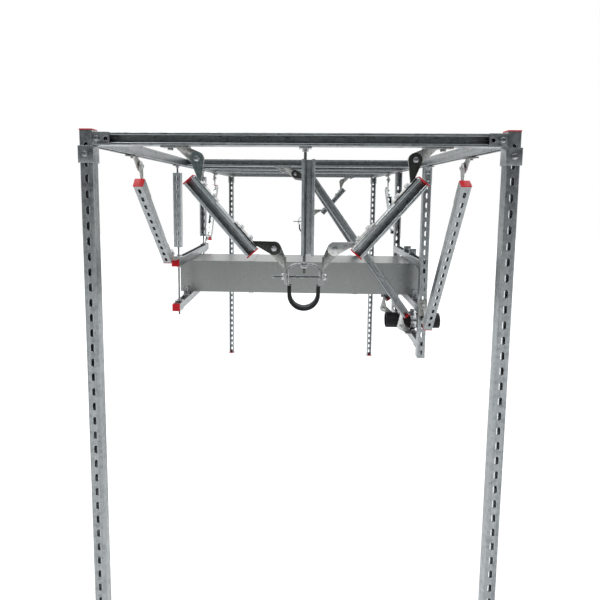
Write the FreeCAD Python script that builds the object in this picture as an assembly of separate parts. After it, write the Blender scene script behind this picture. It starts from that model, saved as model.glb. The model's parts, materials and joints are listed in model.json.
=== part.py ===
import FreeCAD, Part
import math
import os

# A free-standing display frame of slotted strut channel that shows how hung services are
# braced against earthquakes. Millimetres, +Z up, feet on Z = 0, front towards -Y.

V = FreeCAD.Vector

# strut channel section
STRUT = 41.3
WALL = 2.5
OPENING = 22.0
LIP = 7.0
BEND = 3.0
LIP_BEND = 2.4
HALF = STRUT / 2
SLOT_LENGTH = 28.0
SLOT_WIDTH = 13.0
SLOT_PITCH = 50.0

# frame
FRAME_HALF_WIDTH = 661.0
SIDE_BEAM = 3000.0
BEAM_TOP = 1730.0
BEAM_LOW = BEAM_TOP - STRUT
POST_TOP = 1736.0
CAP = 4.0
FRONT_Y = -SIDE_BEAM / 2 - HALF
REAR_Y = -FRONT_Y
FRONT_MID_Y = -291.0
REAR_MID_YS = (151.0, 600.0)
CORNER_PLATE = 4.0

# fasteners
BOLT_R = 5.0
HEAD_R = 9.5
HEAD_H = 8.0
NUT_H = 9.0
WASHER = 40.0
WASHER_T = 6.0

# hinge fittings: a plate with an upright ear that ends in a round disc
PLATE = 5.0
EAR = 6.0
EAR_GAP = 0.15
DISC_R = 22.0
RISE = 38.7
PIN_R = 6.0
MOUNT_ROOT = 44.0
ARM_ROOT = 22.0
PIN_FIT = 0.05
CHANNEL_OFFSET = 63.0
CHANNEL_SETBACK = 35.0

# centre hangers
HANGER_X = 27.0
CROSS_BOLT_Z = 1277.0
YOKE_OUT = 57.3
YOKE_T = 5.0
STRAP_OUT = 50.0
STRAP_T = 2.5
LINER_OUT = 52.0
LINER_T = 11.5
STRAP_WIDTH = 30.0
STRAP_CENTRE_Z = 1222.0

# left trapeze
LEFT_X = -FRAME_HALF_WIDTH
LEFT_ROD_YS = (-431.0, 235.0)
LEFT_BAR_Y = -498.0
LEFT_BAR_LENGTH = 800.0
UPPER_BAR_Z = 1146.0
LOWER_BAR_Z = 902.0
PIPE_BAR_Z = 705.0

# right trapeze
RIGHT_X = 670.0
DROP_FRONT_Y = -441.3
DROP_REAR_Y = 338.7
DROP_BOTTOM = 655.0
SHELF_BOLT = (DROP_REAR_Y - DROP_FRONT_Y - STRUT) % SLOT_PITCH / 2 + SLOT_PITCH / 2

# duct and pipe
DUCT_LEFT = -695.0
DUCT_RIGHT = 725.0
DUCT_FRONT = -261.0
DUCT_REAR = 69.0
DUCT_BOTTOM = 963.3
DUCT_TOP = UPPER_BAR_Z
DUCT_T = 1.5
PIPE_R = 44.45
PIPE_T = 6.0
PIPE_LEFT = 515.0
PIPE_RIGHT = 825.0
PIPE_Y = -210.0
CLAMP_FOOT = 4.0

ORIGIN_X = (DUCT_LEFT + PIPE_RIGHT) / 2


def oriented(shape, origin, along, up):
    """Carry a shape made along local X with local Z up to its place."""
    x = V(*along)
    z = V(*up)
    turn = FreeCAD.Rotation(x, z.cross(x), z, "XZY")
    moved = shape.copy()
    moved.Placement = FreeCAD.Placement(V(*origin), turn).multiply(shape.Placement)
    return moved


def box(x0, x1, y0, y1, z0, z1):
    return Part.makeBox(x1 - x0, y1 - y0, z1 - z0, V(x0, y0, z0))


def rounded_face(points, radii):
    """Face in the local YZ plane with an arc at each corner that has a radius."""
    edges = []
    start = None
    previous = None
    count = len(points)
    for i in range(count):
        here = V(0, *points[i])
        back = V(0, *points[i - 1]) - here
        ahead = V(0, *points[(i + 1) % count]) - here
        back.normalize()
        ahead.normalize()
        inlet = here + back * radii[i]
        outlet = here + ahead * radii[i]
        if previous is None:
            start = inlet
        else:
            edges.append(Part.LineSegment(previous, inlet).toShape())
        if radii[i] > 0:
            centre = here + (back + ahead) * radii[i]
            inward = centre - here
            inward.normalize()
            middle = centre - inward * radii[i]
            edges.append(Part.Arc(inlet, middle, outlet).toShape())
        previous = outlet
    edges.append(Part.LineSegment(previous, start).toShape())
    return Part.Face(Part.Wire(edges))


def channel_face():
    """Section of the channel: web down at z = 0, open side up, centred on y = 0."""
    outer = [(-HALF, STRUT), (-HALF, 0), (HALF, 0), (HALF, STRUT)]
    lip_in = OPENING / 2
    lip_out = lip_in + WALL
    wall_in = HALF - WALL
    top_in = STRUT - WALL
    lip_low = STRUT - LIP
    right = [(lip_in, STRUT), (lip_in, lip_low), (lip_out, lip_low), (lip_out, top_in), (wall_in, top_in)]
    inner = [(wall_in, WALL), (-wall_in, WALL)]
    left = [(-y, z) for y, z in reversed(right)]
    points = outer + right + inner + left
    radii = [BEND] * 4 + [LIP_BEND, 0, 0, 0, 0] + [0, 0] + [0, 0, 0, 0, LIP_BEND]
    return rounded_face(points, radii)


def slot(x):
    """Cutter for one round-ended web slot."""
    reach = (SLOT_LENGTH - SLOT_WIDTH) / 2
    r = SLOT_WIDTH / 2
    body = box(x - reach, x + reach, -r, r, -1, WALL + 1)
    ends = [Part.makeCylinder(r, WALL + 2, V(x + s * reach, 0, -1)) for s in (-1, 1)]
    return body.fuse(ends).removeSplitter()


def plain_strut(length):
    """Channel with a closed web, along local X from 0 to its length."""
    return channel_face().extrude(V(length, 0, 0))


def strut(length, first_slot=25.0):
    """Channel with a slotted web, along local X from 0 to its length."""
    body = plain_strut(length)
    count = int((length - first_slot - SLOT_LENGTH / 2) // SLOT_PITCH) + 1
    cutters = [slot(first_slot + SLOT_PITCH * i) for i in range(count)]
    return body.cut(Part.makeCompound(cutters))


def hexagon(r, height):
    """Hexagonal prism standing on the local XY plane, r across the corners / 2."""
    corners = [V(r * math.cos(a), r * math.sin(a), 0) for a in (math.pi / 3 * i for i in range(7))]
    return Part.Face(Part.makePolygon(corners)).extrude(V(0, 0, height))


def placed_hex(point, up, r=HEAD_R, height=HEAD_H):
    side = (0, 0, 1) if abs(up[2]) < 0.5 else (1, 0, 0)
    return oriented(hexagon(r, height), point, side, up)


def nut(point, up, bore=BOLT_R, height=NUT_H, r=10.0):
    ring = hexagon(r, height).cut(Part.makeCylinder(bore, height))
    side = (0, 0, 1) if abs(up[2]) < 0.5 else (1, 0, 0)
    return oriented(ring, point, side, up)


def square_washer(x, y, z, bore=BOLT_R):
    plate = box(x - WASHER / 2, x + WASHER / 2, y - WASHER / 2, y + WASHER / 2, z, z + WASHER_T)
    return plate.cut(Part.makeCylinder(bore, WASHER_T, V(x, y, z)))


def leaf(start, end, holes, layer, rise, root):
    """Hinge leaf: pivot at the local origin, plate along +X at the rise, ear beside y = 0.

    layer is -1 or +1 and says on which side of y = 0 the ear lies."""
    low = rise - PLATE
    plate = box(start, end, -HALF, HALF, low, rise)
    y0 = EAR_GAP if layer > 0 else -EAR_GAP - EAR
    root_end = min(start + root, end)
    angle = math.atan2(low, root_end)
    spread = math.acos(DISC_R / math.hypot(low, root_end))
    touch = V(DISC_R * math.cos(angle - spread), y0, DISC_R * math.sin(angle - spread))
    angle_near = math.atan2(low, start)
    spread_near = math.acos(DISC_R / math.hypot(low, start))
    near = V(DISC_R * math.cos(angle_near + spread_near), y0, DISC_R * math.sin(angle_near + spread_near))
    outline = [V(0, y0, 0), touch, V(root_end, y0, low), V(root_end, y0, low + 1), V(start, y0, low + 1),
               V(start, y0, low), near, V(0, y0, 0)]
    web = Part.Face(Part.makePolygon(outline)).extrude(V(0, EAR, 0))
    disc = Part.makeCylinder(DISC_R, EAR, V(0, y0, 0), V(0, 1, 0))
    body = plate.fuse([web, disc]).removeSplitter()
    bores = [Part.makeCylinder(BOLT_R, PLATE + 4, V(x, 0, low - 2)) for x in holes]
    return body.cut(Part.makeCompound(bores))


# ---------------------------------------------------------------- posts and beams

def post(x, y, outward):
    return oriented(strut(POST_TOP - CAP, 31.0), (x, y + outward * HALF, CAP), (0, 0, 1), (0, -outward, 0))


def posts():
    made = {}
    for side, x in (("left", -FRAME_HALF_WIDTH), ("right", FRAME_HALF_WIDTH)):
        made["front_%s_post" % side] = post(x, FRONT_Y, -1)
        made["rear_%s_post" % side] = post(x, REAR_Y, 1)
    return made


def beams():
    span = 2 * (FRAME_HALF_WIDTH - HALF)
    left = -FRAME_HALF_WIDTH + HALF
    middle = BEAM_TOP - HALF
    made = {}
    made["front_beam"] = oriented(plain_strut(span), (left, FRONT_Y + HALF, middle), (1, 0, 0), (0, -1, 0))
    made["rear_beam"] = oriented(plain_strut(span), (left, REAR_Y - HALF, middle), (1, 0, 0), (0, 1, 0))
    for name, ys in (("front_mid_beam", (FRONT_MID_Y,)), ("rear_mid_beams", REAR_MID_YS)):
        bars = [oriented(plain_strut(span), (left, y + HALF, middle), (1, 0, 0), (0, -1, 0)) for y in ys]
        made[name] = bars[0] if len(bars) == 1 else Part.makeCompound(bars)
    for name, y in (("front_beam", FRONT_Y), ("rear_beam", REAR_Y)):
        made[name] = made[name].cut(Part.makeCylinder(BOLT_R, 10, V(HANGER_X, y, BEAM_LOW - 5)))
    for name, x in (("left_beam", -FRAME_HALF_WIDTH), ("right_beam", FRAME_HALF_WIDTH)):
        made[name] = oriented(strut(SIDE_BEAM), (x, -SIDE_BEAM / 2, BEAM_TOP), (0, 1, 0), (0, 0, -1))
    return made


def end_cap(point, along, up, rim=0.8):
    """Plastic cap on a channel end: a rounded square plate, CAP thick, growing along local X."""
    h = HALF + rim
    corners = [(-h, -h), (h, -h), (h, h), (-h, h)]
    plate = rounded_face(corners, [3.0] * 4).extrude(V(CAP, 0, 0))
    return oriented(plate, point, along, up)


def frame_caps():
    caps = []
    for x in (-FRAME_HALF_WIDTH, FRAME_HALF_WIDTH):
        for y in (FRONT_Y, REAR_Y):
            caps.append(end_cap((x, y, POST_TOP), (0, 0, 1), (0, 1, 0)))
            caps.append(end_cap((x, y, 0), (0, 0, 1), (0, 1, 0)))
    for z in (UPPER_BAR_Z, LOWER_BAR_Z):
        caps.append(end_cap((LEFT_X, LEFT_BAR_Y, z + HALF), (0, -1, 0), (0, 0, 1), 0))
        caps.append(end_cap((LEFT_X, LEFT_BAR_Y + LEFT_BAR_LENGTH, z + HALF), (0, 1, 0), (0, 0, 1), 0))
    return caps


def corner_brackets():
    """U saddles round the posts below the beams and flat plates on the beam faces."""
    brackets = []
    bolts = []
    t = CORNER_PLATE
    for sx in (-1, 1):
        for sy in (-1, 1):
            x = sx * FRAME_HALF_WIDTH
            face = sy * (REAR_Y + HALF)
            back = face - sy * STRUT
            z0 = BEAM_LOW - 55
            y0, y1 = sorted((back, face + sy * t))
            shell = box(x - HALF - t, x + HALF + t, y0, y1, z0, BEAM_LOW - 1)
            y0, y1 = sorted((back - sy, face))
            shell = shell.cut(box(x - HALF, x + HALF, y0, y1, z0 - 1, BEAM_LOW))
            brackets.append(shell)
            bolts.append(placed_hex((x, face + sy * t, z0 + 27), (0, sy, 0)))
            px = sx * (FRAME_HALF_WIDTH - HALF - 29)
            y0, y1 = sorted((face, face + sy * t))
            plate = box(px - 27, px + 27, y0, y1, BEAM_LOW, BEAM_TOP)
            hole = Part.makeCylinder(6.5, t + 2, V(px - sx * 15, face - sy, BEAM_TOP - HALF), V(0, sy, 0))
            brackets.append(plate.cut(hole))
            bolts.append(placed_hex((px + sx * 12, face + sy * t, BEAM_TOP - HALF), (0, sy, 0)))
    return brackets, bolts


# ---------------------------------------------------------------- hinged braces

class Brace:
    """A channel between two pivots, with its leaves, caps, mounts and bolts.

    start and end are the upper and lower pivots, side points to the channel's side of the
    line between them, and view is the direction of the pivot axes towards the arms' ears.
    top and low describe the mounts: the direction the plate runs in, the direction from
    the pivot to the surface that carries it, and where plate and bolt lie from the pivot."""

    def __init__(self, name, start, end, side, view, capped, opening, top, low):
        self.name = name
        self.start = V(*start)
        self.end = V(*end)
        self.along = self.end - self.start
        self.length = self.along.Length
        self.along.normalize()
        self.view = V(*view)
        across = self.along.cross(self.view)
        if across.dot(V(*side)) < 0:
            across = across * -1
        self.across = across
        self.capped = capped
        self.opening = opening
        self.top = top
        self.low = low

    def layer(self, along, up, towards_view):
        """Side of local y = 0 that faces the view direction or away from it."""
        local_y = V(*up).cross(V(*along))
        facing = 1 if local_y.dot(self.view) > 0 else -1
        return facing if towards_view else -facing

    def channel(self):
        body_length = self.length - 2 * CHANNEL_SETBACK
        centre = self.start + self.along * CHANNEL_SETBACK + self.across * CHANNEL_OFFSET
        if self.opening == "view":
            up = self.view
            body = plain_strut(body_length)
        else:
            up = self.across * -1
            body = strut(body_length, (body_length % SLOT_PITCH) / 2 + SLOT_PITCH / 2)
        return oriented(body, centre - up * HALF, self.along, up)

    def arms(self):
        """Leaves on both ends of the channel with their bolts."""
        holes = (75.0, 120.0)
        leaf_rise = CHANNEL_OFFSET - HALF
        depth = PLATE if self.opening == "view" else PLATE + 6
        pieces = []
        for pivot, along in ((self.start, self.along), (self.end, self.along * -1)):
            side = self.layer(along, self.across, True)
            body = leaf(CHANNEL_SETBACK + 6, CHANNEL_SETBACK + 108, holes, side, leaf_rise, ARM_ROOT)
            body = oriented(body, pivot, along, self.across)
            if pivot is self.start:
                body = body.cut(self.pin(pivot, PIN_R + PIN_FIT, 30))
            pieces.append(body)
            for x in holes:
                foot = pivot + along * x + self.across * (leaf_rise - PLATE)
                pieces.append(placed_bolt(foot, self.across, depth))
        cap = self.end + self.view * (EAR_GAP + EAR)
        pieces.append(oriented(hexagon(HEAD_R, HEAD_H), cap, self.along, self.view))
        return pieces

    def pin(self, pivot, radius, reach):
        return Part.makeCylinder(radius, 2 * reach, pivot - self.view * reach, self.view)

    def caps(self):
        made = []
        start = self.start + self.along * CHANNEL_SETBACK + self.across * CHANNEL_OFFSET
        end = self.end - self.along * CHANNEL_SETBACK + self.across * CHANNEL_OFFSET
        made.append(end_cap(start, self.along * -1, self.view))
        made.append(end_cap(end, self.along, self.view))
        return made

    def mounts(self):
        """Both fixed leaves and their bolts."""
        leaves = []
        bolts = []
        ends = ((self.start, self.top, True), (self.end, self.low, False))
        for pivot, (base, up, start, end, bolt), hinge in ends:
            base = V(*base)
            up = V(*up)
            side = self.layer(base, up, False)
            root = min(MOUNT_ROOT, bolt - start - 12)
            body = oriented(leaf(start, end, (bolt,), side, RISE, root), pivot, base, up)
            leaves.append(body.cut(self.pin(pivot, PIN_R, 30)))
            out = EAR_GAP + EAR
            back = pivot - self.view * (out + NUT_H)
            if hinge:
                shank = Part.makeCylinder(PIN_R, 2 * out + NUT_H + 0.3, back, self.view)
                head = oriented(hexagon(HEAD_R, HEAD_H), pivot + self.view * (out + 0.3), base, self.view)
            else:
                shank = Part.makeCylinder(PIN_R, NUT_H + EAR, back, self.view)
                head = None
            grip = oriented(hexagon(10.0, NUT_H), back, base, self.view)
            pin = shank.fuse(grip) if head is None else shank.fuse([grip, head])
            bolts.append(pin.removeSplitter())
            if not self.on_cross_bolt(pivot):
                foot = pivot + base * bolt + up * (RISE - PLATE)
                bolts.append(placed_bolt(foot, up, PLATE))
        return leaves, bolts

    def on_cross_bolt(self, pivot):
        return pivot is self.end and abs(self.end.z - CROSS_BOLT_Z - 92.0) < 0.1


def placed_bolt(foot, up, depth):
    """Bolt with its head below a plate's underside at foot and its shank going up."""
    side = V(1, 0, 0) if abs(up.x) < 0.5 else V(0, 1, 0)
    side = side - up * side.dot(up)
    side.normalize()
    head = hexagon(HEAD_R, HEAD_H)
    head.translate(V(0, 0, -HEAD_H))
    bolt = head.fuse(Part.makeCylinder(BOLT_R, depth)).removeSplitter()
    return oriented(bolt, foot, side, up)


UP = (0, 0, 1)
PIVOT_Z = BEAM_LOW - RISE
TOP_LEFT = ((-1, 0, 0), UP, 24.0, 112.0, 85.0)
TOP_RIGHT = ((1, 0, 0), UP, 24.0, 112.0, 85.0)
TOP_FRONT = ((0, -1, 0), UP, 24.0, 112.0, 85.0)
TOP_REAR = ((0, 1, 0), UP, 24.0, 112.0, 85.0)


def braces():
    made = []
    reach = YOKE_OUT + RISE
    spread = 341.0
    low_z = CROSS_BOLT_Z + 92.0
    down_left = ((0, 0, -1), (1, 0, 0), 24.0, 112.0, 92.0)
    down_right = ((0, 0, -1), (-1, 0, 0), 24.0, 112.0, 92.0)
    near = (0, -1, 0)
    made.append(Brace("front_left_brace", (HANGER_X - spread, FRONT_Y, PIVOT_Z),
                      (HANGER_X - reach, FRONT_Y, low_z), (-1, 0, -1), near, True, "view", TOP_LEFT, down_left))
    for name, y, capped in (("front_right_brace", FRONT_Y, True), ("rear_right_brace", REAR_Y, False)):
        made.append(Brace(name, (HANGER_X + spread, y, PIVOT_Z), (HANGER_X + reach, y, low_z),
                          (1, 0, -1), near, capped, "view", TOP_RIGHT, down_right))
    bar_top = UPPER_BAR_Z + STRUT + RISE
    left_bar_end = LEFT_BAR_Y + LEFT_BAR_LENGTH
    made.append(Brace("left_front_brace", (LEFT_X, -1036.0, PIVOT_Z), (LEFT_X, LEFT_BAR_Y - 74.0, bar_top),
                      (0, -1, -1), (1, 0, 0), True, "line", TOP_FRONT,
                      ((0, 1, 0), (0, 0, -1), 24.0, 112.0, 92.0)))
    made.append(Brace("left_rear_brace", (LEFT_X, 660.0, PIVOT_Z), (LEFT_X, left_bar_end + 32.0, bar_top),
                      (0, 1, -1), (1, 0, 0), True, "line", TOP_REAR,
                      ((0, -1, 0), (0, 0, -1), 24.0, 76.0, 59.0)))
    front_low_y = DROP_FRONT_Y - HALF - RISE
    rear_low_y = DROP_REAR_Y + HALF + RISE
    made.append(Brace("right_front_brace", (RIGHT_X, -1041.0, PIVOT_Z), (RIGHT_X, front_low_y, 868.0),
                      (0, -1, -1), (-1, 0, 0), True, "line", TOP_FRONT,
                      ((0, 0, 1), (0, 1, 0), 24.0, 112.0, 85.0)))
    made.append(Brace("right_rear_brace", (RIGHT_X, 759.0, PIVOT_Z), (RIGHT_X, rear_low_y, 1290.0),
                      (0, 1, -1), (-1, 0, 0), False, "line", TOP_REAR,
                      ((0, 0, 1), (0, -1, 0), 24.0, 112.0, 85.0)))
    pipe_bar_top = PIPE_BAR_Z + STRUT + RISE
    long_ones = (("front_long_brace", FRONT_MID_Y, 80.0), ("rear_long_brace", REAR_MID_YS[0], 110.0))
    for name, y, reach in long_ones:
        made.append(Brace(name, (-28.0, y, PIVOT_Z), (RIGHT_X - reach, y, pipe_bar_top), (1, 0, 1), near,
                          True, "view", TOP_LEFT, ((1, 0, 0), (0, 0, -1), 24.0, reach + 21.0, reach)))
    return made


# ---------------------------------------------------------------- hangers and trapezes

def u_band(radius, thickness, width, leg):
    """U strap in the local XZ plane: half ring below the origin and legs up to the leg height."""
    outer = Part.makeCylinder(radius, width, V(0, -width / 2, 0), V(0, 1, 0))
    outer = outer.fuse(box(-radius, radius, -width / 2, width / 2, 0, leg))
    inner_r = radius - thickness
    inner = Part.makeCylinder(inner_r, width + 2, V(0, -width / 2 - 1, 0), V(0, 1, 0))
    inner = inner.fuse(box(-inner_r, inner_r, -width / 2 - 1, width / 2 + 1, 0, leg + 1))
    upper = box(-radius - 1, radius + 1, -width, width, leg, leg + radius + 5)
    return outer.cut(inner).cut(upper).removeSplitter()


def centre_hanger(y):
    """Rod, stiffener, yoke, cross bolt, strap and liner of one clevis hanger."""
    top = CROSS_BOLT_Z + 43
    rod = Part.makeCylinder(BOLT_R, BEAM_LOW + 14 - 1288, V(HANGER_X, y, 1288))
    washers = [square_washer(HANGER_X, y, BEAM_LOW - WASHER_T)]
    washers += [nut((HANGER_X, y, z), UP) for z in (BEAM_LOW - WASHER_T - NUT_H, top, top - YOKE_T - NUT_H)]
    stiffener = oriented(plain_strut(303.0), (HANGER_X + 10, y + HALF - 3, 1347.0), UP, (0, -1, 0))
    yoke = yoke_shape(top)
    yoke.translate(V(HANGER_X, y, 0))
    cross_foot = V(HANGER_X - YOKE_OUT - 46, y, CROSS_BOLT_Z)
    cross = Part.makeCylinder(BOLT_R, 2 * YOKE_OUT + 66, cross_foot, V(1, 0, 0))
    ends = (HANGER_X - YOKE_OUT - PLATE * (y == FRONT_Y), HANGER_X + YOKE_OUT + PLATE)
    cross_nuts = [nut((ends[0], y, CROSS_BOLT_Z), (-1, 0, 0)), nut((ends[1], y, CROSS_BOLT_Z), (1, 0, 0))]
    leg = CROSS_BOLT_Z + 13 - STRAP_CENTRE_Z
    strap = u_band(STRAP_OUT, STRAP_T, STRAP_WIDTH, leg)
    bore = Part.makeCylinder(BOLT_R + PIN_FIT, 200, V(-100, 0, CROSS_BOLT_Z - STRAP_CENTRE_Z), V(1, 0, 0))
    liner = u_band(LINER_OUT, LINER_T, STRAP_WIDTH + 6, leg - 40).cut(strap)
    strap = strap.cut(bore)
    for shape in (strap, liner):
        shape.translate(V(HANGER_X, y, STRAP_CENTRE_Z))
    return rod, washers, stiffener, yoke, cross, cross_nuts, strap, liner


def yoke_shape(top):
    """Inverted U of flat bar with rounded shoulders and holes for rod and cross bolt."""
    bottom = CROSS_BOLT_Z - 24
    width = STRAP_WIDTH
    bend = 34.0
    corners = [(-YOKE_OUT, bottom), (YOKE_OUT, bottom), (YOKE_OUT, top), (-YOKE_OUT, top)]
    inner = YOKE_OUT - YOKE_T
    core = [(-inner, bottom - 5), (inner, bottom - 5), (inner, top - YOKE_T), (-inner, top - YOKE_T)]
    outer_body = rounded_face(corners, [0, 0, bend, bend]).extrude(V(width, 0, 0))
    inner_body = rounded_face(core, [0, 0, bend - YOKE_T, bend - YOKE_T]).extrude(V(width + 2, 0, 0))
    outer_body.translate(V(-width / 2, 0, 0))
    inner_body.translate(V(-width / 2 - 1, 0, 0))
    band = outer_body.cut(inner_body)
    band.rotate(V(0, 0, 0), V(0, 0, 1), 90)
    band = band.cut(Part.makeCylinder(BOLT_R, 20, V(0, 0, top - 10)))
    return band.cut(Part.makeCylinder(BOLT_R, 200, V(-100, 0, CROSS_BOLT_Z), V(1, 0, 0)))


def crossbar(x, y0, length, z, first_slot=25.0):
    return oriented(strut(length, first_slot), (x, y0, z), (0, 1, 0), UP)


def left_trapeze():
    rods = []
    hardware = []
    stiffeners = []
    rod_bottom = LOWER_BAR_Z - 34
    for y, facing in zip(LEFT_ROD_YS, (1, -1)):
        rods.append(Part.makeCylinder(BOLT_R, BEAM_LOW + 14 - rod_bottom, V(LEFT_X, y, rod_bottom)))
        hardware.append(square_washer(LEFT_X, y, BEAM_LOW - WASHER_T))
        hardware.append(nut((LEFT_X, y, BEAM_LOW - WASHER_T - NUT_H), UP))
        for z in (UPPER_BAR_Z, LOWER_BAR_Z):
            hardware.append(square_washer(LEFT_X, y, z + STRUT))
            hardware.append(nut((LEFT_X, y, z + STRUT + WASHER_T), UP))
            hardware.append(square_washer(LEFT_X, y, z - WASHER_T))
            hardware.append(nut((LEFT_X, y, z - WASHER_T - NUT_H), UP))
        stiffeners.append(oriented(strut(401.0), (LEFT_X, y - facing * HALF, 1245.0), UP, (0, facing, 0)))
    bars = {
        "left_upper_crossbar": crossbar(LEFT_X, LEFT_BAR_Y, LEFT_BAR_LENGTH, UPPER_BAR_Z),
        "left_lower_crossbar": crossbar(LEFT_X, LEFT_BAR_Y, LEFT_BAR_LENGTH, LOWER_BAR_Z),
    }
    return rods, hardware, stiffeners, bars


def right_trapeze():
    shapes = {}
    height = BEAM_LOW - DROP_BOTTOM
    for name, y, inward in (("right_front_drop", DROP_FRONT_Y, 1), ("right_rear_drop", DROP_REAR_Y, -1)):
        foot = (RIGHT_X, y - inward * HALF, DROP_BOTTOM)
        shapes[name] = oriented(strut(height, 30.0), foot, UP, (0, inward, 0))
    y0 = DROP_FRONT_Y + HALF
    y1 = DROP_REAR_Y - HALF
    brackets = []
    bolts = []
    for name, z in (("right_upper_crossbar", UPPER_BAR_Z), ("right_lower_crossbar", LOWER_BAR_Z),
                    ("pipe_crossbar", PIPE_BAR_Z)):
        shapes[name] = crossbar(RIGHT_X, y0, y1 - y0, z, SHELF_BOLT)
        for y, inward in ((y0, 1), (y1, -1)):
            brackets.append(shelf_bracket(y, inward, z))
            bolts.append(placed_bolt(V(RIGHT_X, y + inward * SHELF_BOLT, z - PLATE), V(0, 0, 1), PLATE + 6))
            bolts.append(placed_bolt(V(RIGHT_X, y + inward * PLATE, z - 27), V(0, -inward, 0), PLATE + 6))
    for y, outward in ((DROP_FRONT_Y - HALF, -1), (DROP_REAR_Y + HALF, 1)):
        brackets.append(hanging_bracket(y, outward))
        for drop in (33.0, 72.0):
            foot = V(RIGHT_X, y + outward * PLATE, BEAM_LOW - drop)
            bolts.append(placed_bolt(foot, V(0, -outward, 0), PLATE))
        bolts.append(placed_bolt(V(RIGHT_X - 7, y + outward * 30, BEAM_LOW - PLATE), V(0, 0, 1), PLATE + 4))
    for y in (DUCT_REAR - 240.0, DUCT_REAR - 90.0):
        top = UPPER_BAR_Z + STRUT
        foot = box(RIGHT_X - HALF, RIGHT_X + HALF, y, y + STRUT, top, top + PLATE)
        upright = box(RIGHT_X - HALF, RIGHT_X + HALF, y, y + PLATE, top, top + 34)
        hole = Part.makeCylinder(BOLT_R, 20, V(RIGHT_X, y + 23, top - 5))
        brackets.append(foot.fuse(upright).removeSplitter().cut(hole))
        bolts.append(placed_bolt(V(RIGHT_X, y + 23, top + PLATE), V(0, 0, -1), PLATE + 6))
    return shapes, brackets, bolts


def shelf_bracket(y, inward, z):
    """Angle under a crossbar's end, against the open side of its drop channel."""
    ya, yb = sorted((y, y + inward * (SHELF_BOLT + 18)))
    foot = box(RIGHT_X - HALF, RIGHT_X + HALF, ya, yb, z - PLATE, z)
    ya, yb = sorted((y, y + inward * PLATE))
    leg = box(RIGHT_X - HALF, RIGHT_X + HALF, ya, yb, z - 48, z)
    body = foot.fuse(leg).removeSplitter()
    hole_a = Part.makeCylinder(BOLT_R, 20, V(RIGHT_X, y + inward * SHELF_BOLT, z - 10))
    hole_b = Part.makeCylinder(BOLT_R, 20, V(RIGHT_X, y - inward * 6, z - 27), V(0, inward, 0))
    return body.cut(hole_a).cut(hole_b)


def hanging_bracket(y, outward):
    """Angle that hangs a drop channel's web face from the side beam."""
    ya, yb = sorted((y, y + outward * 50))
    foot = box(RIGHT_X - HALF, RIGHT_X + HALF, ya, yb, BEAM_LOW - PLATE, BEAM_LOW)
    ya, yb = sorted((y, y + outward * PLATE))
    leg = box(RIGHT_X - HALF, RIGHT_X + HALF, ya, yb, BEAM_LOW - 95, BEAM_LOW)
    body = foot.fuse(leg).removeSplitter()
    body = body.cut(Part.makeCylinder(BOLT_R, 20, V(RIGHT_X - 7, y + outward * 30, BEAM_LOW - 10)))
    for drop in (33.0, 72.0):
        start = V(RIGHT_X, y - outward * 15, BEAM_LOW - drop)
        body = body.cut(Part.makeCylinder(BOLT_R, 30, start, V(0, outward, 0)))
    return body


# ---------------------------------------------------------------- duct and pipe

def duct():
    body = box(DUCT_LEFT, DUCT_RIGHT, DUCT_FRONT, DUCT_REAR, DUCT_BOTTOM, DUCT_TOP)
    bore = box(DUCT_LEFT - 1, DUCT_RIGHT + 1, DUCT_FRONT + DUCT_T, DUCT_REAR - DUCT_T,
               DUCT_BOTTOM + DUCT_T, DUCT_TOP - DUCT_T)
    return body.cut(bore)


def duct_cleats():
    """Two bands round the duct where its lengths are joined."""
    bands = []
    for x in (-280.0, 325.0):
        out = box(x - 14, x + 14, DUCT_FRONT - 2, DUCT_REAR + 2, DUCT_BOTTOM - 2, DUCT_TOP + 2)
        bands.append(out.cut(box(x - 15, x + 15, DUCT_FRONT, DUCT_REAR, DUCT_BOTTOM, DUCT_TOP)))
    return bands


def duct_pads():
    pads = []
    for x in (LEFT_X, RIGHT_X):
        pads.append(box(x - HALF, x + HALF, DUCT_FRONT + 10, DUCT_REAR - 10, LOWER_BAR_Z + STRUT, DUCT_BOTTOM))
    return pads


def duct_brackets():
    """Small angles that hold the duct's front edge to the lower crossbars."""
    brackets = []
    top = LOWER_BAR_Z + STRUT
    for x in (LEFT_X, RIGHT_X):
        y = DUCT_FRONT
        foot = box(x - 17, x + 17, y - 34, y, top, top + 4)
        upright = box(x - 17, x + 17, y - 4, y, top, top + 52)
        body = foot.fuse(upright).removeSplitter()
        for z in (top + 20, top + 38):
            body = body.cut(Part.makeCylinder(4.5, 12, V(x, y - 8, z), V(0, 1, 0)))
        brackets.append(body)
    return brackets


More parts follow.
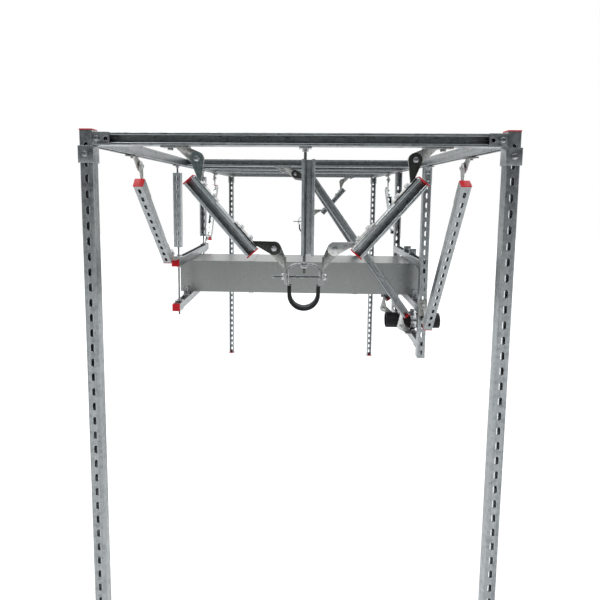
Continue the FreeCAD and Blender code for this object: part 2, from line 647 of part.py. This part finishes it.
def pipe_parts():
    axis_z = PIPE_BAR_Z + STRUT + CLAMP_FOOT + 2.5 + 4.0 + PIPE_R
    along = V(1, 0, 0)
    pipe = Part.makeCylinder(PIPE_R, PIPE_RIGHT - PIPE_LEFT, V(PIPE_LEFT, PIPE_Y, axis_z), along)
    pipe = pipe.cut(Part.makeCylinder(PIPE_R - PIPE_T, PIPE_RIGHT - PIPE_LEFT, V(PIPE_LEFT, PIPE_Y, axis_z), along))
    x0 = RIGHT_X - 16
    liner_r = PIPE_R + 4.0
    band_r = liner_r + 2.5
    liner = Part.makeCylinder(liner_r, 40, V(x0 - 4, PIPE_Y, axis_z), along)
    liner = liner.cut(Part.makeCylinder(PIPE_R, 42, V(x0 - 5, PIPE_Y, axis_z), along))
    band = Part.makeCylinder(band_r, 32, V(x0, PIPE_Y, axis_z), along)
    bar_top = PIPE_BAR_Z + STRUT
    band = band.fuse(box(x0, x0 + 32, PIPE_Y - 58, PIPE_Y + 58, bar_top, bar_top + CLAMP_FOOT))
    band = band.fuse(box(x0, x0 + 32, PIPE_Y - 10, PIPE_Y + 10, bar_top, axis_z - PIPE_R))
    band = band.fuse(box(x0 + 4, x0 + 28, PIPE_Y - 7, PIPE_Y + 7, axis_z, axis_z + band_r + 16))
    band = band.cut(Part.makeCylinder(liner_r, 42, V(x0 - 5, PIPE_Y, axis_z), along)).removeSplitter()
    feet = [V(RIGHT_X, PIPE_Y + s * 46, bar_top + CLAMP_FOOT) for s in (-1, 1)]
    bolts = [placed_bolt(foot, V(0, 0, -1), CLAMP_FOOT + 5) for foot in feet]
    holes = [Part.makeCylinder(BOLT_R, 12, V(RIGHT_X, PIPE_Y + s * 46, bar_top - 4)) for s in (-1, 1)]
    return pipe, band.cut(Part.makeCompound(holes)), liner, bolts


# ---------------------------------------------------------------- assembly

def all_parts():
    parts = {}
    parts.update({name: [shape] for name, shape in posts().items()})
    parts.update({name: [shape] for name, shape in beams().items()})
    parts["frame_end_caps"] = frame_caps()
    parts["corner_brackets"], frame_bolts = corner_brackets()
    mounts = []
    hinge_bolts = []
    for brace in braces():
        parts[brace.name + "_channel"] = [brace.channel()]
        parts[brace.name + "_arms"] = brace.arms()
        if brace.capped:
            parts[brace.name + "_caps"] = brace.caps()
        leaves, bolts = brace.mounts()
        mounts += leaves
        hinge_bolts += bolts
    parts["hinge_mounts"] = mounts
    rods, hardware, stiffeners, bars = left_trapeze()
    yokes = []
    for end, y in (("front", FRONT_Y), ("rear", REAR_Y)):
        rod, washers, stiffener, yoke, cross, cross_nuts, strap, liner = centre_hanger(y)
        rods += [rod, cross]
        hardware += washers + cross_nuts
        stiffeners.append(stiffener)
        yokes.append(yoke)
        parts[end + "_clevis_strap"] = [strap]
        parts[end + "_clevis_liner"] = [liner]
    parts["threaded_rods"] = rods
    parts["rod_stiffeners"] = stiffeners
    parts["clevis_yokes"] = yokes
    parts["rod_nuts_washers"] = hardware
    parts.update({name: [shape] for name, shape in bars.items()})
    shapes, brackets, bolts = right_trapeze()
    parts.update({name: [shape] for name, shape in shapes.items()})
    pipe, clamp, liner, clamp_bolts = pipe_parts()
    parts["angle_brackets"] = brackets + duct_brackets()
    parts["frame_bolts"] = frame_bolts + hinge_bolts + bolts + clamp_bolts
    parts["duct"] = [duct()] + duct_cleats()
    parts["duct_pads"] = duct_pads()
    parts["pipe"] = [pipe]
    parts["pipe_clamp"] = [clamp]
    parts["pipe_clamp_liner"] = [liner]
    return parts


os.makedirs("parts", exist_ok=True)
for node, shapes in all_parts().items():
    joined = shapes[0] if len(shapes) == 1 else Part.makeCompound(shapes)
    joined.translate(V(-ORIGIN_X, 0, 0))
    joined.exportStep("parts/%s.step" % node)
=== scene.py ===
import json
import math

import bmesh
import bpy
from mathutils import Matrix, Vector


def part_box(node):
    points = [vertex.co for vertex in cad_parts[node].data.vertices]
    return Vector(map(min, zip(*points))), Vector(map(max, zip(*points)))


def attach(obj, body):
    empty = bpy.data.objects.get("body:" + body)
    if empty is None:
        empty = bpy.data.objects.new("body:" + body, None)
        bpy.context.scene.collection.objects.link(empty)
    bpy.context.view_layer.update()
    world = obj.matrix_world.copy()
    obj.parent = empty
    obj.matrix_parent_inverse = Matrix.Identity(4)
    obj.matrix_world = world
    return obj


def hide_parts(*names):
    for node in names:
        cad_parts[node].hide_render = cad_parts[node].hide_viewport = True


# Looks of the seismic bracing display frame: finishes for the CAD nodes, rounded copies of the
# small parts, cut threads, and a plain studio. Lengths are in metres.

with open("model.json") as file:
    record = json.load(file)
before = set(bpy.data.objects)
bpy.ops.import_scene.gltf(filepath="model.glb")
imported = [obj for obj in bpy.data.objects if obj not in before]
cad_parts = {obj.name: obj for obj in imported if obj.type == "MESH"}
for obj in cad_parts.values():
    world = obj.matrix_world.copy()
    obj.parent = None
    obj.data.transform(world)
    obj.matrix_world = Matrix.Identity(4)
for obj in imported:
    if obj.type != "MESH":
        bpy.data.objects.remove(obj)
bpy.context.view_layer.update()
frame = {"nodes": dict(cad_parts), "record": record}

NODES = frame["nodes"]
MM = 0.001
WHITE = (1.0, 1.0, 1.0)

# the threaded rods' thread
THREAD_PITCH = 1.5 * MM
THREAD_SIDES = 12
THREAD_DEPTH = 0.55 * MM

# clean-up and rounding of the small parts
WELD = 0.01 * MM
EDGE_SOFT = 0.7 * MM
FLAT_ANGLE = math.radians(1.0)
SHARP_ANGLE = math.radians(35)
SMOOTH_ANGLE = math.radians(40)

# in a node of hinge arms a solid smaller than BOLT_SPAN is a bolt, and an ear's faces look along y
BOLT_SPAN = 32 * MM
EAR_FACING = 0.8
# material slots of such a node, in the order in which softened() fills them
UPPER_EAR, LOWER_EAR, BOLTS, LEAVES = range(4)

# a piece narrower than this share of its length runs straight along one axis
SLENDER = 0.2

# finishes seen in the photograph: the upper ears or the whole piece, then the lower ears
UPPER_TONE = {
    "front_left_brace_arms": "hinge_green",
    "front_right_brace_arms": "hinge_dark",
    "front_long_brace_arms": "hinge_dark",
    "clevis_yokes": "yoke_plating",
}
LOWER_TONE = {
    "front_left_brace_arms": "hinge_dark",
    "front_right_brace_arms": "hinge_light",
    "front_long_brace_arms": "hinge_light",
}

# the braces seen from their open side and the rods' stiffeners look brighter than the beams; they
# get a lighter copy of the zinc, painted light
LIT_ZINC_PIECES = ("front_left_brace_channel", "front_right_brace_channel", "rod_stiffeners")

# zinc coating: base greys, tints of its blemishes, and the colour of a painted highlight along
# edges
GREY_DARK = (0.215, 0.234, 0.246)
GREY_LIGHT = (0.312, 0.334, 0.347)
DUSTY = (0.99, 0.965, 0.92)
YELLOWED = (1.0, 0.98, 0.94)
STAIN = (0.86, 0.86, 0.84)
MARK = (0.86, 0.86, 0.86)
STREAK_DARK = (0.70, 0.71, 0.72)
STREAK_LIGHT = (1.12, 1.12, 1.12)
STREAK_STRETCH = 0.025
STREAK_AMOUNT = 0.8
# colour of the painted highlight along edges
EDGE_HIGHLIGHT_COLOUR = (0.66, 0.69, 0.71, 1.0)
CHANNEL_ROUGH = 0.34

# width of the painted edge highlight; dot product of the flat and rounded normals at no and full
# highlight
EDGE_HIGHLIGHT_WIDTH = 1.5 * MM
HIGHLIGHT_STARTS = 0.995
HIGHLIGHT_FULL = 0.80

# the camera stands before the frame, close to its middle, and looks slightly down and to the left
EYE = Vector((-0.0385, -3.0746, 1.5463))
YAW = math.radians(-2.05)
PITCH = math.radians(5.98)
ROLL = math.radians(0.50)
LENS = 29.37
SENSOR = 36.0
SHIFT = (0.0222, -0.0937)
FAR_CLIP = 60.0

# studio: floor, world colours, and the span of a direction's component over which they blend
FLOOR_REACH = 14.0
FLOOR_COLOUR = (0.72, 0.715, 0.71, 1.0)
FLOOR_ROUGH = 0.85
FRONT_WALL = (0.070, 0.079, 0.088, 1.0)
BACK_WALL = (1.0, 1.0, 1.0, 1.0)
CEILING = (1.50, 1.54, 1.58, 1.0)
BACKGROUND = (1.0, 1.0, 1.0, 1.0)
BLENDS = (("Y", -0.35, 0.25), ("Z", 0.20, 0.85))


# ---------------------------------------------------------------- materials

class Nodes:
    """Small helper round a material's node tree."""

    def __init__(self, name):
        self.material = bpy.data.materials.new(name)
        self.material.use_nodes = True
        self.tree = self.material.node_tree
        self.shader = self.tree.nodes["Principled BSDF"]
        self.place = self.add("ShaderNodeTexCoord").outputs["Object"]

    def add(self, kind, **settings):
        node = self.tree.nodes.new(kind)
        for key, value in settings.items():
            setattr(node, key, value)
        return node

    def link(self, source, target):
        self.tree.links.new(source, target)

    def stretched(self, scale):
        mapping = self.add("ShaderNodeMapping")
        mapping.inputs["Scale"].default_value = scale
        self.link(self.place, mapping.inputs["Vector"])
        return mapping.outputs["Vector"]

    def noise(self, scale, detail=3.0, rough=0.55, where=None):
        node = self.add("ShaderNodeTexNoise")
        node.inputs["Scale"].default_value = scale
        node.inputs["Detail"].default_value = detail
        node.inputs["Roughness"].default_value = rough
        self.link(where or self.place, node.inputs["Vector"])
        return node.outputs["Fac"]

    def crystals(self, scale):
        node = self.add("ShaderNodeTexVoronoi")
        node.inputs["Scale"].default_value = scale
        node.inputs["Randomness"].default_value = 1.0
        self.link(self.place, node.inputs["Vector"])
        return node.outputs["Color"]

    def ramp(self, value, stops):
        node = self.add("ShaderNodeValToRGB")
        while len(node.color_ramp.elements) < len(stops):
            node.color_ramp.elements.new(0.5)
        for element, (position, colour) in zip(node.color_ramp.elements, stops):
            element.position = position
            element.color = (*colour, 1.0)
        self.link(value, node.inputs["Fac"])
        return node.outputs["Color"]

    def spread(self, value, low, high):
        """Noise, which mostly lies between 0.3 and 0.7, spread from low to high."""
        node = self.add("ShaderNodeMapRange")
        node.inputs["From Min"].default_value = 0.3
        node.inputs["From Max"].default_value = 0.7
        node.inputs["To Min"].default_value = low
        node.inputs["To Max"].default_value = high
        self.link(value, node.inputs["Value"])
        return node.outputs["Result"]

    def mix(self, first, second, amount, blend="MULTIPLY"):
        node = self.add("ShaderNodeMix", data_type="RGBA", blend_type=blend)
        node.inputs["Factor"].default_value = amount
        self.link(first, node.inputs["A"])
        self.link(second, node.inputs["B"])
        return node.outputs["Result"]

    def edges(self, radius):
        """0 on flat stretches and towards 1 on edges: the mask of a painted edge highlight."""
        flat = self.add("ShaderNodeNewGeometry").outputs["Normal"]
        rounded = self.add("ShaderNodeBevel", samples=4)
        rounded.inputs["Radius"].default_value = radius
        dot = self.add("ShaderNodeVectorMath", operation="DOT_PRODUCT")
        self.link(flat, dot.inputs[0])
        self.link(rounded.outputs["Normal"], dot.inputs[1])
        amount = self.add("ShaderNodeMapRange")
        amount.inputs["From Min"].default_value = HIGHLIGHT_STARTS
        amount.inputs["From Max"].default_value = HIGHLIGHT_FULL
        self.link(dot.outputs["Value"], amount.inputs["Value"])
        return amount.outputs["Result"]

    def bump(self, height, strength, distance):
        node = self.add("ShaderNodeBump")
        node.inputs["Strength"].default_value = strength
        node.inputs["Distance"].default_value = distance
        self.link(height, node.inputs["Height"])
        return node.outputs["Normal"]


def zinc(name, dark, light, warm, rough, metallic=1.0, spangle=90.0, stain=0.5, along=None,
         highlit_edges=False):
    """Zinc coated steel: crystals of slightly different grey, warm patches, stains and marks,
    with streaks along an axis and, where asked for, a painted highlight along the edges."""
    m = Nodes(name)
    crystals = m.ramp(m.crystals(spangle), [(0.0, dark), (0.55, light), (1.0, light)])
    patches = m.ramp(m.noise(scale=3.0, detail=4.0), [(0.3, WHITE), (0.7, warm)])
    stains = m.ramp(m.noise(scale=14.0, detail=6.0, rough=0.7), [(0.25, STAIN), (0.5, WHITE)])
    marks = m.ramp(m.noise(scale=220.0, detail=2.0, rough=0.5), [(0.3, MARK), (0.6, WHITE)])
    colour = m.mix(m.mix(m.mix(crystals, patches, 1.0), stains, stain), marks, stain)
    if along is not None:
        lanes = m.stretched([STREAK_STRETCH if axis == along else 1.0 for axis in "xyz"])
        streaks = m.ramp(m.noise(scale=110.0, detail=3.0, rough=0.6, where=lanes),
                         [(0.32, STREAK_DARK), (0.62, STREAK_LIGHT)])
        colour = m.mix(colour, streaks, STREAK_AMOUNT)
    # painted highlight: a lighter colour along the edges, standing in for the light that rounded
    # edges catch
    if highlit_edges:
        edge_highlight = m.add("ShaderNodeMix", data_type="RGBA")
        edge_highlight.inputs["B"].default_value = EDGE_HIGHLIGHT_COLOUR
        m.link(m.edges(EDGE_HIGHLIGHT_WIDTH), edge_highlight.inputs["Factor"])
        m.link(colour, edge_highlight.inputs["A"])
        colour = edge_highlight.outputs["Result"]
    m.link(colour, m.shader.inputs["Base Color"])
    m.shader.inputs["Metallic"].default_value = metallic
    uneven = 0.2 * stain
    gloss = m.noise(scale=40.0, detail=5.0, rough=0.65)
    m.link(m.spread(gloss, rough - uneven, rough + uneven), m.shader.inputs["Roughness"])
    ripple = m.noise(scale=140.0, detail=4.0, rough=0.6)
    m.link(m.bump(ripple, strength=0.5 * stain, distance=0.6 * MM), m.shader.inputs["Normal"])
    return m.material


def plastic(name, colour, shade, rough):
    """Moulded plastic with a fine grain and scuffs."""
    m = Nodes(name)
    m.shader.inputs["Specular IOR Level"].default_value = 0.2
    tone = m.ramp(m.noise(scale=30.0, detail=4.0), [(0.3, shade), (0.62, colour)])
    m.link(tone, m.shader.inputs["Base Color"])
    scuffs = m.noise(scale=90.0, detail=3.0)
    m.link(m.spread(scuffs, rough - 0.08, rough + 0.12), m.shader.inputs["Roughness"])
    grain = m.noise(scale=900.0, detail=2.0)
    m.link(m.bump(grain, strength=0.15, distance=0.3 * MM), m.shader.inputs["Normal"])
    return m.material


def rubber(name):
    """Black rubber with dusty patches and a fine uneven skin."""
    m = Nodes(name)
    m.shader.inputs["Specular IOR Level"].default_value = 0.2
    dust = m.ramp(m.noise(scale=18.0, detail=5.0, rough=0.7),
                  [(0.35, (0.006, 0.006, 0.007)), (0.75, (0.022, 0.022, 0.023))])
    m.link(dust, m.shader.inputs["Base Color"])
    m.link(m.spread(m.noise(scale=60.0, detail=4.0), 0.45, 0.75), m.shader.inputs["Roughness"])
    skin = m.noise(scale=300.0, detail=3.0)
    m.link(m.bump(skin, strength=0.3, distance=0.6 * MM), m.shader.inputs["Normal"])
    return m.material


def coated_pipe(name):
    """Dark coated pipe: faint lengthwise streaks and a low, uneven gloss."""
    m = Nodes(name)
    along = m.stretched((1.0, 14.0, 14.0))
    streaks = m.ramp(m.noise(scale=8.0, detail=5.0, rough=0.6, where=along),
                     [(0.3, (0.008, 0.007, 0.008)), (0.7, (0.020, 0.018, 0.020))])
    m.link(streaks, m.shader.inputs["Base Color"])
    m.link(m.spread(m.noise(scale=30.0, detail=4.0), 0.45, 0.65), m.shader.inputs["Roughness"])
    m.shader.inputs["Specular IOR Level"].default_value = 0.15
    brushing = m.noise(scale=120.0, detail=3.0, rough=0.6, where=along)
    m.link(m.bump(brushing, strength=0.2, distance=0.5 * MM), m.shader.inputs["Normal"])
    return m.material


def make_materials():
    made = {
        "galvanised_steel": zinc(
            "galvanised_channel", GREY_DARK, GREY_LIGHT, DUSTY, rough=CHANNEL_ROUGH, highlit_edges=True),
        "plated_steel": zinc(
            "bright_plating", (0.30, 0.31, 0.325), (0.50, 0.51, 0.525), YELLOWED,
            rough=0.27, spangle=160.0),
        "hinge_steel": zinc(
            "hinge_casting", (0.20, 0.205, 0.20), (0.34, 0.345, 0.34), (0.98, 0.98, 0.92),
            rough=0.34, spangle=200.0),
        "hinge_light": zinc(
            "light_hinge_casting", (0.42, 0.43, 0.425), (0.62, 0.63, 0.62), (1.0, 1.0, 0.96),
            rough=0.32, spangle=200.0),
        "hinge_green": zinc(
            "green_hinge_casting", (0.150, 0.185, 0.180), (0.230, 0.270, 0.262), (0.96, 1.0, 0.98),
            rough=0.36, spangle=200.0),
        "hinge_dark": zinc(
            "dark_hinge_casting", (0.014, 0.015, 0.014), (0.036, 0.038, 0.035), (1.0, 0.98, 0.85),
            rough=0.40, metallic=0.70, spangle=200.0),
        "duct_sheet": zinc(
            "duct_sheet", (0.220, 0.230, 0.228), (0.232, 0.243, 0.240), (1.0, 0.99, 0.96),
            rough=0.28, spangle=70.0, stain=0.05),
        "yoke_plating": zinc(
            "yoke_plating", (0.19, 0.205, 0.215), (0.33, 0.35, 0.36), YELLOWED,
            rough=0.30, spangle=160.0),
        "thread_steel": zinc(
            "thread_plating", (0.10, 0.105, 0.11), (0.19, 0.195, 0.20), YELLOWED,
            rough=0.42, spangle=160.0),
        "dark_pipe": coated_pipe("coated_pipe"),
        "red_plastic": plastic("red_cap", (0.46, 0.006, 0.012), (0.30, 0.004, 0.009), rough=0.42),
        "black_rubber": rubber("liner_rubber"),
        # painted light: the galvanised zinc in lighter greys, for the braces and stiffeners that
        # look brighter than the beams
        "galvanised_lit": zinc(
            "lit_channel", (0.300, 0.328, 0.345), (0.440, 0.470, 0.488), DUSTY,
            rough=CHANNEL_ROUGH, highlit_edges=True),
    }
    for axis in "xyz":
        made["galvanised_steel_" + axis] = zinc(
            "galvanised_channel_" + axis, GREY_DARK, GREY_LIGHT, DUSTY,
            rough=CHANNEL_ROUGH, along=axis, highlit_edges=True)
    return made


MATERIALS = make_materials()


def paint(thing, slot):
    thing.data.materials.clear()
    thing.data.materials.append(MATERIALS[slot])


def channel_slot(name, slot):
    """Straight channels get the streaks that run along them, some pieces a lighter copy of the zinc
    as painted light.
    """
    if name in LIT_ZINC_PIECES:
        return "galvanised_lit"
    low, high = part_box(name)
    size = [high[i] - low[i] for i in range(3)]
    longest = max(range(3), key=lambda i: size[i])
    if slot == "galvanised_steel" and sorted(size)[1] < SLENDER * size[longest]:
        return slot + "_" + "xyz"[longest]
    return slot


def paint_nodes():
    slots = {entry["node"]: entry["material_slot"] for entry in frame["record"]["subparts"]}
    for name, thing in NODES.items():
        paint(thing, channel_slot(name, slots[name]))
    return slots


# ---------------------------------------------------------------- mesh pieces

def body_of(node):
    for body, members in frame["record"]["behaviour"]["bodies"].items():
        if node in members:
            return body


def piece_from(mesh_builder, name, body, slot):
    mesh = bpy.data.meshes.new(name)
    mesh_builder.to_mesh(mesh)
    mesh_builder.free()
    thing = bpy.data.objects.new(name, mesh)
    bpy.context.scene.collection.objects.link(thing)
    paint(thing, slot)
    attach(thing, body)
    return thing


def connected(elements, neighbours):
    """Groups of elements that hang together, always in the same order."""
    seen = set()
    groups = []
    for first in elements:
        if first in seen:
            continue
        seen.add(first)
        stack = [first]
        group = []
        while stack:
            element = stack.pop()
            group.append(element)
            for other in neighbours(element):
                if other not in seen:
                    seen.add(other)
                    stack.append(other)
        groups.append(group)
    return groups


def box_of(spots):
    low = Vector([min(spot[i] for spot in spots) for i in range(3)])
    high = Vector([max(spot[i] for spot in spots) for i in range(3)])
    return low, high


def leaf_tones(build):
    """Material index for every face of a node of hinge arms."""
    build.faces.index_update()
    groups = connected(
        build.faces, lambda face: [other for edge in face.edges for other in edge.link_faces])
    spots = [[vert.co for face in group for vert in face.verts] for group in groups]
    heights = [sum(spot.z for spot in group) / len(group) for group in spots]
    middle = (max(heights) + min(heights)) / 2
    tones = {}
    for group, places, height in zip(groups, spots, heights):
        low, high = box_of(places)
        bolt = max(high - low) < BOLT_SPAN
        ear = LOWER_EAR if height < middle else UPPER_EAR
        for face in group:
            leaf = ear if abs(face.normal.y) > EAR_FACING else LEAVES
            tones[face.index] = BOLTS if bolt else leaf
    return tones


def softened(node, slot):
    """Copy of a CAD node with its sharp edges rounded as pressing and plating leave them."""
    build = bmesh.new()
    build.from_mesh(NODES[node].data)
    bmesh.ops.remove_doubles(build, verts=build.verts, dist=WELD)
    bmesh.ops.dissolve_limit(build, angle_limit=FLAT_ANGLE, verts=build.verts, edges=build.edges)
    sharp = [edge for edge in build.edges
             if edge.is_manifold and edge.calc_face_angle(0) > SHARP_ANGLE]
    bmesh.ops.bevel(build, geom=sharp, offset=EDGE_SOFT, segments=2, profile=0.6,
                    affect="EDGES", clamp_overlap=True)
    bmesh.ops.recalc_face_normals(build, faces=build.faces)
    for face in build.faces:
        face.smooth = True
    tones = leaf_tones(build) if node.endswith("_arms") else {}
    thing = piece_from(build, node + "_finished", body_of(node), slot)
    if tones:
        for tone in (LOWER_TONE.get(node, slot), "plated_steel", "hinge_light"):
            thing.data.materials.append(MATERIALS[tone])
    for index, tone in tones.items():
        thing.data.polygons[index].material_index = tone
    thing.data.set_sharp_from_angle(angle=SMOOTH_ANGLE)
    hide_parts(node)


def islands(node):
    """Boxes of a node's separate solids, as (lowest, highest) corners."""
    build = bmesh.new()
    build.from_mesh(NODES[node].data)
    bmesh.ops.remove_doubles(build, verts=build.verts, dist=WELD)
    groups = connected(
        build.verts, lambda vert: [edge.other_vert(vert) for edge in vert.link_edges])
    found = [box_of([vert.co for vert in group]) for group in groups]
    build.free()
    return found


def thread(build, low, high):
    """Helical thread filling the box of one rod, along the box's longest side."""
    size = high - low
    axis = max(range(3), key=lambda i: size[i])
    centre = (low + high) / 2
    radius = min(size) / 2
    length = size[axis]
    side = Vector([1.0 if i == (axis + 1) % 3 else 0.0 for i in range(3)])
    rise = Vector([1.0 if i == axis else 0.0 for i in range(3)])
    other = rise.cross(side)
    start = centre - rise * (length / 2)
    turns = int(length / THREAD_PITCH) - 1
    half = THREAD_PITCH / 2
    rings = []
    for i in range(2 * turns):
        r = radius if i % 2 else radius - THREAD_DEPTH
        ring = []
        for k in range(THREAD_SIDES):
            angle = 2 * math.pi * k / THREAD_SIDES
            height = i * half + THREAD_PITCH * k / THREAD_SIDES
            spoke = side * (r * math.cos(angle)) + other * (r * math.sin(angle))
            ring.append(build.verts.new(start + rise * height + spoke))
        rings.append(ring)
    for i in range(len(rings) - 1):
        for k in range(THREAD_SIDES - 1):
            build.faces.new((rings[i][k], rings[i][k + 1], rings[i + 1][k + 1], rings[i + 1][k]))
        # a ring ends one pitch up, where the ring after the next one begins
        if i + 3 < len(rings):
            build.faces.new((rings[i][-1], rings[i + 2][0], rings[i + 3][0], rings[i + 1][-1]))
    # the ends, each with the step that the helix leaves in it
    first_step = (rings[2][0], rings[1][0])
    last_step = (rings[-2][-1], rings[-3][-1])
    for ring, end, step in ((rings[0], 0.0, first_step), (rings[-1], length, last_step)):
        tip = build.verts.new(start + rise * end)
        for k in range(THREAD_SIDES - 1):
            build.faces.new((ring[k], ring[k + 1], tip))
        build.faces.new((tip, ring[-1], *step, ring[0]))


def threaded_rods():
    """The hanging rods are dull, the clevis cross bolts as bright as their yokes."""
    build = bmesh.new()
    bright = []
    for low, high in islands("threaded_rods"):
        first = len(build.faces)
        thread(build, low, high)
        if high.x - low.x > high.z - low.z:
            bright += range(first, len(build.faces))
    bmesh.ops.recalc_face_normals(build, faces=build.faces)
    rods = piece_from(build, "threaded_rods_cut", body_of("threaded_rods"), "thread_steel")
    rods.data.materials.append(MATERIALS["yoke_plating"])
    bright_slot = len(rods.data.materials) - 1
    for index in bright:
        rods.data.polygons[index].material_index = bright_slot
    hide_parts("threaded_rods")


def finish_small_parts(slots):
    chosen = {node for node in NODES if node.endswith(("_arms", "_caps"))}
    chosen |= {"frame_bolts", "rod_nuts_washers", "hinge_mounts", "corner_brackets",
               "angle_brackets", "pipe_clamp", "clevis_yokes"}
    for node in sorted(chosen):
        softened(node, UPPER_TONE.get(node, slots[node]))


# ---------------------------------------------------------------- stage

def camera():
    forward = Vector((math.sin(YAW) * math.cos(PITCH), math.cos(YAW) * math.cos(PITCH),
                      -math.sin(PITCH)))
    level = Vector((math.cos(YAW), -math.sin(YAW), 0.0))
    upright = level.cross(forward)
    right = level * math.cos(ROLL) + upright * math.sin(ROLL)
    up = upright * math.cos(ROLL) - level * math.sin(ROLL)
    data = bpy.data.cameras.new("camera")
    data.lens = LENS
    data.sensor_width = SENSOR
    data.shift_x, data.shift_y = SHIFT
    data.clip_end = FAR_CLIP
    thing = bpy.data.objects.new("camera", data)
    turn = Matrix((right, up, -forward)).transposed()
    thing.matrix_world = Matrix.Translation(EYE) @ turn.to_4x4()
    bpy.context.scene.collection.objects.link(thing)
    bpy.context.scene.camera = thing


def floor():
    build = bmesh.new()
    corners = ((-1, -1), (1, -1), (1, 1), (-1, 1))
    build.faces.new([build.verts.new((x * FLOOR_REACH, y * FLOOR_REACH, 0.0)) for x, y in corners])
    mesh = bpy.data.meshes.new("floor")
    build.to_mesh(mesh)
    build.free()
    thing = bpy.data.objects.new("floor", mesh)
    bpy.context.scene.collection.objects.link(thing)
    material = bpy.data.materials.new("floor")
    material.use_nodes = True
    shader = material.node_tree.nodes["Principled BSDF"]
    shader.inputs["Base Color"].default_value = FLOOR_COLOUR
    shader.inputs["Roughness"].default_value = FLOOR_ROUGH
    mesh.materials.append(material)


def soft_light(name, place, target, size, power, colour=WHITE):
    data = bpy.data.lights.new(name, "AREA")
    data.shape = "RECTANGLE"
    data.size, data.size_y = size
    data.energy = power
    data.color = colour
    thing = bpy.data.objects.new(name, data)
    thing.location = place
    aim = Vector(target) - Vector(place)
    thing.rotation_euler = aim.to_track_quat("-Z", "Y").to_euler()
    bpy.context.scene.collection.objects.link(thing)


def studio():
    """White room, lit from behind and above and dim in front, so that front faces read as metal.
    The camera itself sees plain white behind the part."""
    world = bpy.data.worlds.new("studio")
    world.use_nodes = True
    tree = world.node_tree

    def blend(first, second, factor, kind="MIX"):
        node = tree.nodes.new("ShaderNodeMix")
        node.data_type = "RGBA"
        node.blend_type = kind
        node.inputs["B"].default_value = second
        if isinstance(first, tuple):
            node.inputs["A"].default_value = first
        else:
            tree.links.new(first, node.inputs["A"])
        tree.links.new(factor, node.inputs["Factor"])
        return node.outputs["Result"]

    direction = tree.nodes.new("ShaderNodeTexCoord")
    parts = tree.nodes.new("ShaderNodeSeparateXYZ")
    tree.links.new(direction.outputs["Generated"], parts.inputs["Vector"])
    levels = {}
    for axis, low, high in BLENDS:
        node = tree.nodes.new("ShaderNodeMapRange")
        node.interpolation_type = "SMOOTHSTEP"
        node.inputs["From Min"].default_value = low
        node.inputs["From Max"].default_value = high
        tree.links.new(parts.outputs[axis], node.inputs["Value"])
        levels[axis] = node.outputs["Result"]
    walls = blend(FRONT_WALL, BACK_WALL, levels["Y"])
    room = blend(walls, CEILING, levels["Z"], "ADD")
    by_camera = tree.nodes.new("ShaderNodeLightPath").outputs["Is Camera Ray"]
    seen = blend(room, BACKGROUND, by_camera)
    tree.links.new(seen, tree.nodes["Background"].inputs["Color"])
    bpy.context.scene.world = world
    bpy.context.scene.view_settings.view_transform = "Standard"
    soft_light("key", place=(-2.2, -1.6, 5.4), target=(0.0, 0.0, 1.1), size=(2.4, 2.4), power=130.0)
    soft_light("side", place=(4.6, -0.5, 2.8), target=(0.0, 0.0, 1.2), size=(2.0, 3.0), power=30.0,
               colour=(0.92, 0.96, 1.0))


slots = paint_nodes()
finish_small_parts(slots)
threaded_rods()
floor()
studio()
camera()
